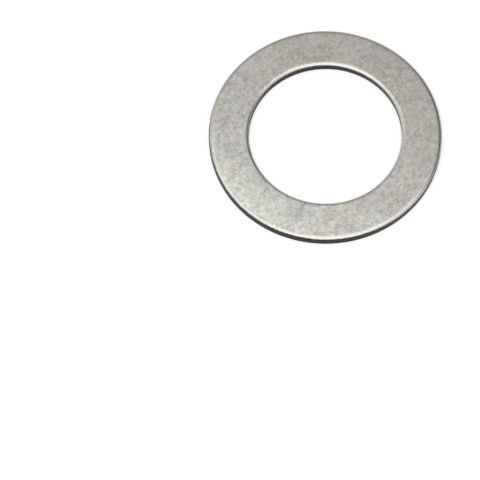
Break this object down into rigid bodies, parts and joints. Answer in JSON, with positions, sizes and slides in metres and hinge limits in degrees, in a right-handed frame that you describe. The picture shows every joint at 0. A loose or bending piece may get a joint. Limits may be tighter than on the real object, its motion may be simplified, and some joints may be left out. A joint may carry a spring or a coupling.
{
  "type": "shim ring",
  "caption": "Thin flat steel ring with a wide bore and rolled upper rims, used on a shaft or in a housing to take up axial play.",
  "frame": {"origin": "centre of the bore on the ring's underside, the face that it lies on", "axes": "+Z along the bore's axis, from the underside to the face with the rolled rims"},
  "size_m": [0.017, 0.017, 0.0008],
  "materials": {
    "tumbled_steel": "tumbled, satin, with a fine dented grain"
  },
  "bodies": {
    "root": {"shim_ring": "tumbled_steel"}
  },
  "joints": []
}
